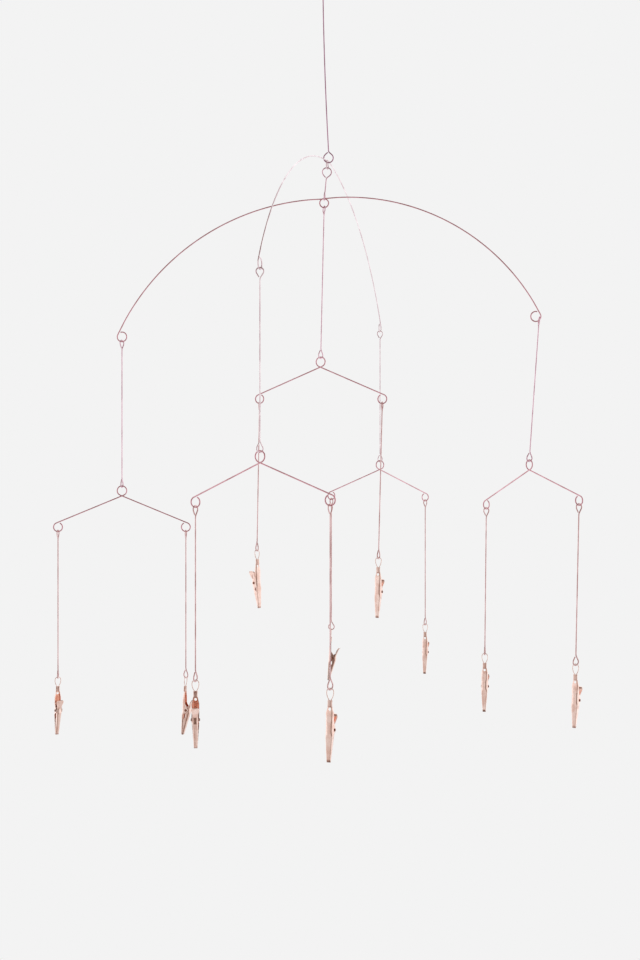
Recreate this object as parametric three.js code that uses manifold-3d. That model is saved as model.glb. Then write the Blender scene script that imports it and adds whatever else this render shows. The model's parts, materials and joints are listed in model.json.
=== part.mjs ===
// Photo mobile of bent copper-plated wire: a ceiling wire carries two arches that cross under each other,
// five V arms hang from the arches, and each arm carries two photo clips on long hanger wires.
// Millimetres and degrees. +Z is up, the viewer looks along +Y, and the origin is the ceiling eye's middle.
import * as THREE from 'three';
import { mergeVertices } from 'three/addons/utils/BufferGeometryUtils.js';
import Module from 'manifold-3d';

const wasm = await Module();
wasm.setup();

// Wire stock and clearances
const WIRE = 1.2;
const LINK_GAP = 0.3;
const MOUTH_GAP = 0.5;
const WIRE_SIDES = 5;
const STEP_ANGLE = 26;

// Ceiling wire: an eye at the top, a shallow bow, and a round ring that carries the upper arch
const EYE_RADIUS = 5.2;
const RING_RADIUS = 4.7;
const CEILING_DROP = 172;
const CEILING_SIDE = 5.5;
const CEILING_BOW = 0.8;
const ARCH_CAUGHT = -25;

// Hooks that end the hanger wires: a drop shape whose free end comes back to the shaft
const HOOK_RADIUS = 3.2;
const HOOK_NECK = 6.2;
const HOOK_FILLET = 1.5;

// Arches: one round loop in the middle and a ring at each end. ARCH_LENGTH is the wire from the loop
// to a ring, and each side's own length and bend radius are shares of it
const ARCH_LENGTH = 262;
const ARCH_LOOP = 4.4;
const ARCH_RING = 4.9;
const ARCH_STEPS = 14;
const UPPER_ARCH = {
  turn: 73.8,
  ends: [
    { slope: 4.2, share: 1, bend: 0.9924, fan: -0.3 },
    { slope: 9.5, share: 1, bend: 1.2118, fan: 1 },
  ],
};
const LOWER_ARCH = {
  turn: -6,
  ends: [
    { slope: -0.1, share: 1.0069, bend: 0.8931, fan: 0 },
    { slope: -5.1, share: 0.9897, bend: 0.8305, fan: 0 },
  ],
};

// The short link between the arches
const LINK_RING = 4.5;
const LINK_LENGTH = 32.8;
const LINK_LEAN = -5.6;
const LINK_TURNS = [0, 84];

// Hangers, V arms and clip wires
const HANGER_LENGTH = 152.5;
const ARM_SPAN = 130;
const ARM_DROP = 37;
const ARM_LOOP = 4.9;
const ARM_RING = 4.5;
const CLIP_WIRE_LENGTH = 150.9;

// Photo clip: two sprung channel jaws on a rivet, with a wire bail in a folded tail
const CLIP_LENGTH = 49.5;
const CLIP_TILT = 3.5;
const SHEET = 0.6;
const SIDE_GAP = 0.3;
const BASE_WIDTH = 6.6;
const TIP_WIDTH = 3.2;
const THUMB_WIDTH = 7.2;
const TAIL_LENGTH = 5.5;
const TAIL_WIDTH = 4;
const TAIL_DEPTH = 2.4;
const SHOULDER_LENGTH = 3;
const SHOULDER_DEPTH = 2;
const PIVOT_AT = 24;
const PIVOT_DEPTH = 4.6;
const EAR_RADIUS = 2.4;
const EAR_FOOT = 6.7;
const TIP_DEPTH = 1.15;
const JAW_LENGTH = 16;
const TOOTH_COUNT = 5;
const TOOTH_DEPTH = 0.4;
const JAW_GAP = 0.3;
const LEVER_DEPTH = 8.4;
const THUMB_REACH = 11;
const THUMB_DEPTH = 11.4;
const THUMB_LIP = 1.2;
const THUMB_ROUND = 1.4;
const RIVET = 1.6;
const RIVET_HEAD = 2.6;
const RIVET_HEAD_HEIGHT = 0.7;
const BAIL_WIRE = 0.8;
const BAIL_RADIUS = 3;
const BAIL_RISE = 9.6;
const BAIL_FOOT = 0.9;
const BAIL_GRIP = 3;

// Torsion spring round the rivet
const SPRING_WIRE = 0.5;
const SPRING_PITCH = 1;
const SPRING_TURNS = 2;
const SPRING_LEG = 9.5;
const GAP_SAMPLES = 400;

// Hanging order, as seen from the front. Angles are the turn of each hook, arm and clip about the plumb
// line: an arm's or hook's turn is from the left-right line, a clip's is how far its lever faces away
const ARMS = {
  centre: {
    trim: 0, lean: -1.3, caught: 0, hooks: [-72, 50], turn: -20, tilt: -1.3,
    left: { trim: 1, lean: -1, hooks: [80, 115], turn: -136 },
    right: { trim: 3, lean: -1.4, hooks: [75, 65], turn: 156 },
  },
  left: {
    trim: -2.5, lean: 0, caught: 0, hooks: [65, 80], turn: 0, tilt: 0,
    left: { trim: 0, lean: 0, hooks: [85, 95], turn: 30 },
    right: { trim: 0, lean: 0, hooks: [85, -45], turn: 70 },
  },
  right: {
    trim: -10.5, lean: -4, caught: 80, hooks: [90, 30], turn: -57.5, tilt: 2.7,
    left: { trim: 0, lean: -0.6, hooks: [30, 75], turn: 162 },
    right: { trim: 0, lean: -1.2, hooks: [30, 30], turn: 144 },
  },
  front: {
    trim: 1.5, lean: 0, caught: 0, hooks: [0, 38], turn: -28.5, tilt: 1.2,
    left: { trim: 0, lean: 0, hooks: [60, 68], turn: 3 },
    right: { trim: -1, lean: 0, hooks: [60, 50], turn: 159 },
  },
  back: {
    trim: 0.5, lean: 0, caught: 0, hooks: [10, -40], turn: 29, tilt: -1.2,
    left: { trim: -1, lean: 0, hooks: [-60, 0], turn: 90 },
    right: { trim: -1, lean: 0, hooks: [-60, 60], turn: 163 },
  },
};

const radians = THREE.MathUtils.degToRad;
const PLUMB = new THREE.Vector3(0, 0, 1);
const LINKED = WIRE + LINK_GAP;
const CROSS = WIRE + MOUTH_GAP;

const wireFinish = new THREE.MeshStandardMaterial({ color: 0xa8786a, roughness: 0.38, metalness: 1 });
const clipFinish = new THREE.MeshStandardMaterial({ color: 0xd79a80, roughness: 0.3, metalness: 1 });
const springFinish = new THREE.MeshStandardMaterial({ color: 0xb9765a, roughness: 0.4, metalness: 1 });

// A pen that draws a bent wire's centreline in one plane, with a steady sideways drift where asked
class Pen {
  constructor(x, z, heading, y = 0) {
    this.x = x;
    this.z = z;
    this.y = y;
    this.heading = radians(heading);
    this.points = [this.here()];
  }

  here() {
    return new THREE.Vector3(this.x, this.y, this.z);
  }

  straight(length) {
    this.x += length * Math.cos(this.heading);
    this.z += length * Math.sin(this.heading);
    this.points.push(this.here());
    return this;
  }

  // A positive angle turns left
  round(radius, angle, steps = Math.ceil(Math.abs(angle) / STEP_ANGLE), drift = 0) {
    const side = Math.sign(angle) * radius;
    for (let i = 0; i < steps; i++) {
      const next = this.heading + radians(angle) / steps;
      this.x += side * (Math.sin(next) - Math.sin(this.heading));
      this.z += side * (Math.cos(this.heading) - Math.cos(next));
      this.y += drift / steps;
      this.heading = next;
      this.points.push(this.here());
    }
    return this;
  }
}

// A path through a list of points, with one step of the swept tube for each of them
class WirePath extends THREE.Curve {
  constructor(points) {
    super();
    this.points = points;
  }

  getUtoTmapping(u) {
    return u;
  }

  getPoint(t, target = new THREE.Vector3()) {
    const last = this.points.length - 1;
    const at = Math.min(Math.floor(t * last + 1e-9), last - 1);
    return target.copy(this.points[at]).lerp(this.points[at + 1], t * last - at);
  }

  getTangent(t, target = new THREE.Vector3()) {
    const last = this.points.length - 1;
    const at = Math.round(t * last);
    const here = this.points[at];
    const before = at > 0 ? here.clone().sub(this.points[at - 1]).normalize() : new THREE.Vector3();
    const after = at < last ? this.points[at + 1].clone().sub(here).normalize() : new THREE.Vector3();
    return target.copy(before).add(after).normalize();
  }
}

function wireGeometry(points, diameter, sides = WIRE_SIDES) {
  const section = new THREE.Shape();
  for (let i = 0; i < sides; i++) {
    const angle = (2 * Math.PI * i) / sides;
    const x = (diameter / 2) * Math.cos(angle);
    const y = (diameter / 2) * Math.sin(angle);
    if (i === 0) {
      section.moveTo(x, y);
    } else {
      section.lineTo(x, y);
    }
  }
  const extrudePath = new WirePath(points);
  return new THREE.ExtrudeGeometry(section, { steps: points.length - 1, bevelEnabled: false, extrudePath });
}

// A hook from its neck on the shaft to its free end. Its far side touches z = 0, and the shaft runs down
function hookPoints(radius) {
  const neck = -radius - HOOK_NECK;
  const spread = Math.asin(radius / HOOK_NECK);
  const corner = new THREE.Vector3(0, 0, neck);
  const below = new THREE.Vector3(0, 0, neck - HOOK_FILLET);
  const away = new THREE.Vector3(Math.sin(spread), 0, Math.cos(spread));
  const along = away.multiplyScalar(HOOK_FILLET).add(corner);
  const fillet = new THREE.QuadraticBezierCurve3(below, corner, along).getPoints(2);
  const run = HOOK_NECK * Math.cos(spread);
  const heading = 90 - THREE.MathUtils.radToDeg(spread);
  const pen = new Pen(along.x, along.z, heading);
  pen.straight(run - HOOK_FILLET);
  pen.round(radius, 180 + 2 * THREE.MathUtils.radToDeg(spread));
  const mouth = (MOUTH_GAP + (WIRE / 2) * (1 + Math.cos(2 * spread))) / Math.sin(2 * spread);
  pen.straight(run - mouth);
  return [...fillet, ...pen.points.slice(1)];
}

// A hook turned about the shaft, at the top of a wire or upside down at its foot
function hookAt(radius, turn, height, foot = false) {
  return hookPoints(radius).map((p) => {
    const z = foot ? -p.z : p.z;
    return new THREE.Vector3(p.x, p.y, z + height).applyAxisAngle(PLUMB, radians(turn));
  });
}

// A straight wire with a hook at each end. The origin is the top of its top hook
function hangerPoints(length, hooks, topRadius) {
  const top = hookAt(topRadius, hooks[0], 0).reverse();
  const foot = hookAt(HOOK_RADIUS, hooks[1], -length, true);
  return [...top, ...foot];
}

function ceilingPoints() {
  const eye = hookAt(EYE_RADIUS, 0, EYE_RADIUS).reverse();
  const ring = hookAt(RING_RADIUS, 0, -CEILING_DROP - RING_RADIUS, true);
  ring.forEach((p) => p.setX(p.x + CEILING_SIDE));
  const start = eye.at(-1);
  const end = ring[0];
  const bend = start.clone().lerp(end, 0.5);
  bend.x -= 2 * CEILING_BOW;
  const shaft = new THREE.QuadraticBezierCurve3(start, bend, end).getPoints(6).slice(1, -1);
  return [...eye, ...shaft, ...ring];
}

// The middle of a wire that rests inside a ring, from the middle of the ring's own wire.
// It is caught at an angle from the ring's foot, to the right where positive
function restOn(caught, clear = LINKED) {
  const angle = radians(caught);
  return new THREE.Vector3(-clear * Math.sin(angle), 0, clear * Math.cos(angle));
}

// How far a ring turns before its end would meet the wire that it starts from
function ringTurn(radius) {
  const open = Math.acos((radius - MOUTH_GAP - WIRE / 2) / (radius + WIRE / 2));
  return 360 - THREE.MathUtils.radToDeg(open);
}

function closeRing(pen, radius) {
  const centre = new THREE.Vector3(
    pen.x + radius * Math.sin(pen.heading),
    pen.y,
    pen.z - radius * Math.cos(pen.heading),
  );
  pen.round(radius, -ringTurn(radius));
  return centre;
}

// Half of a wire that is alike when turned half round about the plumb line, and its twin on the other side
function mirrored(point) {
  return new THREE.Vector3(-point.x, -point.y, point.z);
}

// Half of an arch, from the foot of its middle loop round to the ring at its end
function archHalf({ slope, share, bend, fan }, place) {
  const length = ARCH_LENGTH * share;
  const radius = ARCH_LENGTH * bend;
  const pen = new Pen(0, -2 * ARCH_LOOP, 180);
  pen.round(ARCH_LOOP, -180 - slope, undefined, -CROSS / 2);
  pen.round(radius, -THREE.MathUtils.radToDeg(length / radius), ARCH_STEPS);
  const ring = closeRing(pen, ARCH_RING);
  const set = (p) => place(p.clone().applyAxisAngle(PLUMB, radians(-fan)));
  return { points: pen.points.map(set), ring: set(ring) };
}

// Its two halves leave the middle loop opposite ways; each is fanned a little out of their common plane
function arch({ turn, ends }, caught = 0) {
  const besides = CROSS / 2;
  const clear = LINKED + besides * Math.abs(Math.sin(radians(caught))) + besides ** 2 / (2 * HOOK_RADIUS);
  const seat = restOn(caught, clear).applyAxisAngle(PLUMB, radians(-turn));
  const first = archHalf(ends[0], (p) => mirrored(p).add(seat));
  const second = archHalf(ends[1], (p) => p.add(seat));
  return {
    points: [...first.points.slice(1).reverse(), ...second.points],
    rings: [first.ring, second.ring],
    foot: new THREE.Vector3(0, 0, -2 * ARCH_LOOP).add(seat),
  };
}

// A V arm: its middle loop stands over the crossing of its two straight sides
function armPoints() {
  const halfSpan = ARM_SPAN / 2;
  const reach = Math.hypot(halfSpan, ARM_DROP);
  const slope = Math.atan2(ARM_DROP, halfSpan) - Math.asin((ARM_LOOP + ARM_RING) / reach);
  const heading = THREE.MathUtils.radToDeg(slope);
  const side = Math.sqrt(reach ** 2 - (ARM_LOOP + ARM_RING) ** 2);
  const pen = new Pen(0, LINKED, 180);
  pen.round(ARM_LOOP, 180 - heading, undefined, CROSS / 2);
  pen.straight(side);
  const ring = closeRing(pen, ARM_RING);
  const points = [...pen.points.slice(1).map(mirrored).reverse(), ...pen.points];
  return { points, rings: [mirrored(ring), ring] };
}

// Solids for cutting and joining
function solid(geometry) {
  const bare = geometry.index ? geometry.toNonIndexed() : geometry.clone();
  bare.deleteAttribute('normal');
  bare.deleteAttribute('uv');
  const merged = mergeVertices(bare, 1e-4);
  const vertProperties = new Float32Array(merged.attributes.position.array);
  const triVerts = new Uint32Array(merged.index.array);
  return new wasm.Manifold(new wasm.Mesh({ numProp: 3, vertProperties, triVerts }));
}

function geometryOf(body) {
  const mesh = body.getMesh();
  const geometry = new THREE.BufferGeometry();
  geometry.setAttribute('position', new THREE.BufferAttribute(new Float32Array(mesh.vertProperties), 3));
  geometry.setIndex(new THREE.BufferAttribute(new Uint32Array(mesh.triVerts), 1));
  geometry.computeVertexNormals();
  return geometry;
}

function shapeOf(points) {
  return new THREE.Shape(points.map(([x, y]) => new THREE.Vector2(x, y)));
}

// Clip frame: the bail hangs at the origin, the lever faces -Y. A clip point is its distance down
// from the tail's top and its depth from the base's back
const BAIL_TOP = WIRE / 2 + BAIL_WIRE / 2 + LINK_GAP;
const TAIL_TOP = BAIL_TOP - BAIL_RISE;
const BACK_Y = TAIL_DEPTH / 2;
const PIVOT = new THREE.Vector3(0, BACK_Y - PIVOT_DEPTH, TAIL_TOP - PIVOT_AT);

// Where the toothed edges start, and how deep the base is there
const JAW_ROOT = CLIP_LENGTH - JAW_LENGTH;
const ROOT_DEPTH = TIP_DEPTH + 0.5 * SHEET;

// A side outline of [down, depth] points, spread over a width
function sideBlock(outline, width) {
  const shape = shapeOf(outline.map(([down, depth]) => [BACK_Y - depth, TAIL_TOP - down]));
  const geometry = new THREE.ExtrudeGeometry(shape, { depth: width, bevelEnabled: false });
  geometry.translate(0, 0, -width / 2);
  const toClip = new THREE.Matrix4().makeBasis(
    new THREE.Vector3(0, 1, 0),
    new THREE.Vector3(0, 0, 1),
    new THREE.Vector3(1, 0, 0),
  );
  return solid(geometry.applyMatrix4(toClip));
}

// A front outline of [down, half width] stations, mirrored and spread over every depth of the clip
function frontBlock(stations, inset = 0) {
  const right = stations.map(([down, half]) => [half - inset, TAIL_TOP - down]);
  const left = [...right].reverse().map(([x, z]) => [-x, z]);
  const depth = 2 * (THUMB_DEPTH + THUMB_LIP);
  const geometry = new THREE.ExtrudeGeometry(shapeOf([...right, ...left]), { depth, bevelEnabled: false });
  geometry.translate(0, 0, -depth / 2);
  const toClip = new THREE.Matrix4().makeBasis(
    new THREE.Vector3(1, 0, 0),
    new THREE.Vector3(0, 0, 1),
    new THREE.Vector3(0, -1, 0),
  );
  return solid(geometry.applyMatrix4(toClip));
}

function crossPin(diameter, length) {
  const pin = new THREE.CylinderGeometry(diameter / 2, diameter / 2, length, 8);
  pin.rotateZ(Math.PI / 2);
  pin.translate(PIVOT.x, PIVOT.y, PIVOT.z);
  return solid(pin);
}

// A toothed jaw edge from its root to the tip. The edges of both jaws have the same zigzag, so they mesh
function toothed(rootDepth, tipDepth) {
  const edge = [];
  for (let i = 0; i <= 2 * TOOTH_COUNT; i++) {
    const share = i / (2 * TOOTH_COUNT);
    const depth = rootDepth + (tipDepth - rootDepth) * share;
    edge.push([JAW_ROOT + JAW_LENGTH * share, depth - (i % 2) * TOOTH_DEPTH]);
  }
  return edge;
}

// An egg-shaped loop: half round at the top, then a wider bend on each side down to the feet in the tail
function bailPoints() {
  const fall = BAIL_RISE - BAIL_RADIUS;
  const sweep = 2 * Math.atan((BAIL_RADIUS - BAIL_FOOT) / fall);
  const pen = new Pen(0, BAIL_TOP, 0);
  pen.round(BAIL_RADIUS, -90);
  pen.round(fall / Math.sin(sweep), -THREE.MathUtils.radToDeg(sweep));
  pen.heading = -Math.PI / 2;
  pen.straight(BAIL_GRIP);
  return [...pen.points.slice(1).map(mirrored).reverse(), ...pen.points];
}

function clipBase() {
  const half = BASE_WIDTH / 2;
  const shoulder = TAIL_LENGTH + SHOULDER_LENGTH;
  const earTop = PIVOT_DEPTH + EAR_RADIUS;
  const outline = [
    [TAIL_LENGTH - SHEET, 0],
    [TAIL_LENGTH - SHEET, SHOULDER_DEPTH],
    [shoulder, SHOULDER_DEPTH],
    [PIVOT_AT - EAR_FOOT, SHOULDER_DEPTH + SHEET],
    [PIVOT_AT - EAR_RADIUS, earTop - SHEET],
    [PIVOT_AT - EAR_RADIUS / 2, earTop],
    [PIVOT_AT + EAR_RADIUS / 2, earTop],
    [PIVOT_AT + EAR_RADIUS, earTop - SHEET],
    [PIVOT_AT + 2 * EAR_RADIUS, ROOT_DEPTH],
    ...toothed(ROOT_DEPTH, TIP_DEPTH),
    [CLIP_LENGTH, 0],
  ];
  const front = [
    [TAIL_LENGTH - SHEET, TAIL_WIDTH / 2],
    [shoulder, half],
    [PIVOT_AT + EAR_RADIUS, half],
    [CLIP_LENGTH, TIP_WIDTH / 2],
  ];
  const hollowFront = [
    [TAIL_LENGTH - 2 * SHEET, TAIL_WIDTH / 2],
    ...front.slice(1, -1),
    [CLIP_LENGTH + SHEET, TIP_WIDTH / 2],
  ];
  const hollow = [
    [0, SHEET],
    [0, LEVER_DEPTH],
    [CLIP_LENGTH + SHEET, LEVER_DEPTH],
    [CLIP_LENGTH + SHEET, SHEET],
  ];
  const tail = [
    [0, 0],
    [0, TAIL_DEPTH],
    [TAIL_LENGTH, TAIL_DEPTH],
    [TAIL_LENGTH, 0],
  ];
  const channel = sideBlock(outline, BASE_WIDTH).intersect(frontBlock(front));
  const open = sideBlock(hollow, BASE_WIDTH).intersect(frontBlock(hollowFront, SHEET));
  const headSpan = BASE_WIDTH + 2 * RIVET_HEAD_HEIGHT;
  const heads = crossPin(RIVET_HEAD, headSpan).subtract(crossPin(2 * RIVET_HEAD, BASE_WIDTH - SHEET));
  return channel
    .subtract(open)
    .add(sideBlock(tail, TAIL_WIDTH))
    .add(solid(wireGeometry(bailPoints(), BAIL_WIRE)))
    .add(crossPin(RIVET, BASE_WIDTH))
    .add(heads);
}

function clipLever() {
  const half = BASE_WIDTH / 2 - SHEET - SIDE_GAP;
  const thumbEnd = PIVOT_AT - THUMB_REACH;
  const thumbTop = thumbEnd - THUMB_LIP / 2 - SHEET;
  const tipBack = 2 * TIP_DEPTH + JAW_GAP;
  const back = [
    [CLIP_LENGTH, tipBack],
    [PIVOT_AT + EAR_RADIUS, LEVER_DEPTH],
    [PIVOT_AT - EAR_RADIUS, LEVER_DEPTH],
    [thumbEnd, THUMB_DEPTH],
    [thumbEnd - THUMB_LIP / 2, THUMB_DEPTH + THUMB_LIP],
  ];
  const inner = back.map(([down, depth]) => [down, depth - SHEET]);
  const outline = [
    ...back,
    [thumbTop, THUMB_DEPTH + THUMB_LIP],
    [thumbEnd - SHEET, THUMB_DEPTH - 2 * SHEET],
    [PIVOT_AT - 2 * EAR_RADIUS, LEVER_DEPTH - 1.5 * SHEET],
    [PIVOT_AT - EAR_RADIUS, PIVOT_DEPTH - EAR_RADIUS / 2],
    [PIVOT_AT - EAR_RADIUS / 2, PIVOT_DEPTH - EAR_RADIUS],
    [PIVOT_AT + EAR_RADIUS / 2, PIVOT_DEPTH - EAR_RADIUS],
    [PIVOT_AT + EAR_RADIUS, PIVOT_DEPTH - EAR_RADIUS / 2],
    [JAW_ROOT - EAR_RADIUS, ROOT_DEPTH + EAR_RADIUS],
    ...toothed(ROOT_DEPTH + JAW_GAP, TIP_DEPTH + JAW_GAP).slice(0, -1),
    [CLIP_LENGTH, TIP_DEPTH + JAW_GAP],
  ];
  const hollow = [
    [CLIP_LENGTH + SHEET, tipBack - SHEET],
    ...inner.slice(1, -1),
    [thumbEnd - THUMB_LIP - SHEET, inner.at(-2)[1]],
    [thumbEnd - THUMB_LIP - SHEET, 0],
    [CLIP_LENGTH + SHEET, 0],
  ];
  const front = [
    [thumbTop, THUMB_WIDTH / 2 - THUMB_ROUND],
    [thumbTop + THUMB_ROUND, THUMB_WIDTH / 2],
    [thumbEnd + THUMB_LIP, THUMB_WIDTH / 2],
    [PIVOT_AT - 2 * EAR_RADIUS, half],
    [PIVOT_AT + EAR_RADIUS, half],
    [CLIP_LENGTH, TIP_WIDTH / 2],
  ];
  const hollowFront = [
    [thumbEnd - 2 * THUMB_LIP, THUMB_WIDTH / 2],
    ...front.slice(1, -1),
    [CLIP_LENGTH + SHEET, TIP_WIDTH / 2],
  ];
  const width = Math.max(THUMB_WIDTH, BASE_WIDTH);
  const channel = sideBlock(outline, width).intersect(frontBlock(front));
  const open = sideBlock(hollow, width).intersect(frontBlock(hollowFront, SHEET));
  return channel.subtract(open).subtract(crossPin(RIVET + 2 * LINK_GAP, BASE_WIDTH));
}

// The spring's legs lie on the inside of the base and of the thumb plate; its curls go round the rivet
const SPRING_RADIUS = RIVET / 2 + LINK_GAP + SPRING_WIRE / 2;

function springPoints() {
  const rest = SHEET + LINK_GAP + SPRING_WIRE / 2;
  const lean = Math.asin((PIVOT_DEPTH - SPRING_RADIUS - rest) / SPRING_LEG);
  const thumbSlope = Math.atan2(THUMB_DEPTH - LEVER_DEPTH, THUMB_REACH - EAR_RADIUS);
  const turn = 180 - THREE.MathUtils.radToDeg(thumbSlope + lean) + 360 * SPRING_TURNS;
  const curls = turn / 360;
  const start = THREE.MathUtils.radToDeg(lean);
  const pen = new Pen(0, 0, start, (-SPRING_PITCH * curls) / 2);
  pen.straight(SPRING_LEG);
  pen.round(SPRING_RADIUS, turn, Math.round(8 * curls), SPRING_PITCH * curls);
  pen.straight(SPRING_LEG);
  const middleDown = SPRING_LEG * Math.cos(lean) - SPRING_RADIUS * Math.sin(lean);
  const middleDepth = SPRING_LEG * Math.sin(lean) + SPRING_RADIUS * Math.cos(lean);
  return pen.points.map((p) => new THREE.Vector3(
    p.y,
    PIVOT.y - (p.z - middleDepth),
    PIVOT.z - (p.x - middleDown),
  ));
}

// Least clear distance between stretches of a wound wire that lie half a curl or more apart
function leastSelfGap(points, diameter) {
  const path = new WirePath(points);
  const fine = Array.from({ length: GAP_SAMPLES }, (_, i) => path.getPoint(i / (GAP_SAMPLES - 1)));
  const lengths = [0];
  fine.forEach((p, i) => i && lengths.push(lengths[i - 1] + p.distanceTo(fine[i - 1])));
  let least = Infinity;
  fine.forEach((p, i) => {
    for (let j = i + 1; j < fine.length; j++) {
      if (lengths[j] - lengths[i] > Math.PI * SPRING_RADIUS) {
        least = Math.min(least, p.distanceTo(fine[j]) - diameter);
      }
    }
  });
  return least;
}

// Assembly
function named(name, geometry, material) {
  const mesh = new THREE.Mesh(geometry, material);
  mesh.name = name;
  return mesh;
}

function pivot(parent, place, turn, name) {
  const group = new THREE.Group();
  group.name = name;
  group.position.copy(place);
  group.rotation.z = radians(turn);
  parent.add(group);
  return group;
}

function leaned(vector, lean) {
  return vector.applyAxisAngle(new THREE.Vector3(0, 1, 0), radians(-lean));
}

const baseGeometry = geometryOf(clipBase());
const leverGeometry = geometryOf(clipLever()).translate(-PIVOT.x, -PIVOT.y, -PIVOT.z);
const spring = springPoints();
const springGeometry = wireGeometry(spring, SPRING_WIRE);
console.log(`least gap between the spring's curls: ${leastSelfGap(spring, SPRING_WIRE).toFixed(2)} mm`);

function hangClip(parent, place, name, turn) {
  const swivel = pivot(parent, place, turn, `clip_swivel_${name}`);
  const tilted = new THREE.Group();
  tilted.rotation.x = radians(CLIP_TILT);
  swivel.add(tilted);
  tilted.add(named(`clip_base_${name}`, baseGeometry, clipFinish));
  tilted.add(named(`clip_spring_${name}`, springGeometry, springFinish));
  const squeeze = pivot(tilted, PIVOT, 0, `clip_squeeze_${name}`);
  squeeze.add(named(`clip_lever_${name}`, leverGeometry, clipFinish));
}

// A hanger wire on a parent wire that passes through the given place, and the place at its foot
function hangWire(parent, place, parentTurn, name, kind, wire, length, topRadius = HOOK_RADIUS) {
  const seat = restOn((wire.caught ?? 0) - wire.lean);
  const total = length + wire.trim;
  const swing = pivot(parent, place, -parentTurn, `${kind}_swing${name}`);
  const points = hangerPoints(total, wire.hooks, topRadius).map((p) => p.add(seat));
  const mesh = named(`${kind}${name}`, wireGeometry(points, WIRE), wireFinish);
  mesh.rotation.y = radians(-wire.lean);
  swing.add(mesh);
  const foot = leaned(new THREE.Vector3(0, 0, -total).add(seat), wire.lean);
  return { swing, foot };
}

// The lowest point of a ring's wire, or the side where a hook is caught
function ringSeat(centre, radius, caught = 0) {
  const side = new THREE.Vector3(Math.sin(radians(caught)), 0, -Math.cos(radians(caught)));
  return side.multiplyScalar(radius).add(centre);
}

function hangArm(parent, place, parentTurn, name) {
  const layout = ARMS[name];
  const hanger = hangWire(parent, place, parentTurn, `_${name}`, 'hanger', layout, HANGER_LENGTH);
  const swivel = pivot(hanger.swing, hanger.foot, layout.turn, `arm_swivel_${name}`);
  const arm = armPoints();
  const mesh = named(`arm_${name}`, wireGeometry(arm.points, WIRE), wireFinish);
  mesh.rotation.y = radians(-layout.tilt);
  swivel.add(mesh);
  ['left', 'right'].forEach((side, i) => {
    const seat = ringSeat(leaned(arm.rings[i].clone(), layout.tilt), ARM_RING);
    const label = `${name}_${side}`;
    const held = layout[side];
    const wire = hangWire(swivel, seat, layout.turn, `_${label}`, 'clip_wire', held, CLIP_WIRE_LENGTH);
    hangClip(wire.swing, wire.foot, label, held.turn);
  });
}

const mobile = new THREE.Group();
mobile.name = 'photo_mobile';
mobile.add(named('ceiling_wire', wireGeometry(ceilingPoints(), WIRE), wireFinish));

const ceilingRing = new THREE.Vector3(CEILING_SIDE, 0, -CEILING_DROP);
const ceilingSeat = ringSeat(ceilingRing, RING_RADIUS, ARCH_CAUGHT);
const upperSwivel = pivot(mobile, ceilingSeat, UPPER_ARCH.turn, 'upper_arch_swivel');
const upperArch = arch(UPPER_ARCH, ARCH_CAUGHT);
upperSwivel.add(named('upper_arch', wireGeometry(upperArch.points, WIRE), wireFinish));

const link = hangWire(
  upperSwivel,
  upperArch.foot,
  UPPER_ARCH.turn,
  '',
  'link',
  { trim: 0, hooks: LINK_TURNS, lean: LINK_LEAN },
  LINK_LENGTH,
  LINK_RING,
);
const lowerSwivel = pivot(link.swing, link.foot, LOWER_ARCH.turn, 'lower_arch_swivel');
const lowerArch = arch(LOWER_ARCH);
lowerSwivel.add(named('lower_arch', wireGeometry(lowerArch.points, WIRE), wireFinish));

hangArm(lowerSwivel, lowerArch.foot, LOWER_ARCH.turn, 'centre');
hangArm(lowerSwivel, ringSeat(lowerArch.rings[0], ARCH_RING), LOWER_ARCH.turn, 'left');
hangArm(lowerSwivel, ringSeat(lowerArch.rings[1], ARCH_RING, ARMS.right.caught), LOWER_ARCH.turn, 'right');
hangArm(upperSwivel, ringSeat(upperArch.rings[0], ARCH_RING), UPPER_ARCH.turn, 'front');
hangArm(upperSwivel, ringSeat(upperArch.rings[1], ARCH_RING), UPPER_ARCH.turn, 'back');

export default mobile;
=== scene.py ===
# Photo mobile: bent copper-plated wires that hang from each other, with ten sprung photo clips.
# Metres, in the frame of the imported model: +Z is up and the origin is the middle of the ceiling eye.
import json
import math

import bpy
from mathutils import Matrix, Vector

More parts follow.
